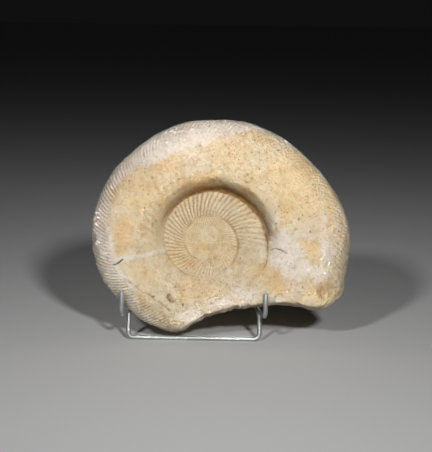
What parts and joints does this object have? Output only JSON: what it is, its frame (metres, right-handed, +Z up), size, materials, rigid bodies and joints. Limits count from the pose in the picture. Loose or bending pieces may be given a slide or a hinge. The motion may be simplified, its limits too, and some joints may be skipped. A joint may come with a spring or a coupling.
{
  "type": "ammonite fossil on a wire stand",
  "caption": "Large coiled ammonite fossil in pale limestone, broken along its lower edge, leaning back in a bent-wire display stand with hooks in front, a front foot and a rear leg.",
  "frame": {"origin": "on the surface the stand stands on, under the middle of the whole object's bounding box", "axes": "+X to the right as seen from the front, along the width of the fossil; +Y to the back; +Z up"},
  "size_m": [0.2258, 0.157, 0.1889],
  "materials": {
    "limestone": "dull, pitted limestone with ochre stain and off-white filling",
    "stand_wire": "bright grey plated wire"
  },
  "bodies": {
    "root": {"ammonite": "limestone", "cradle_wire": "stand_wire", "front_foot": "stand_wire", "rear_leg": "stand_wire"}
  },
  "joints": []
}
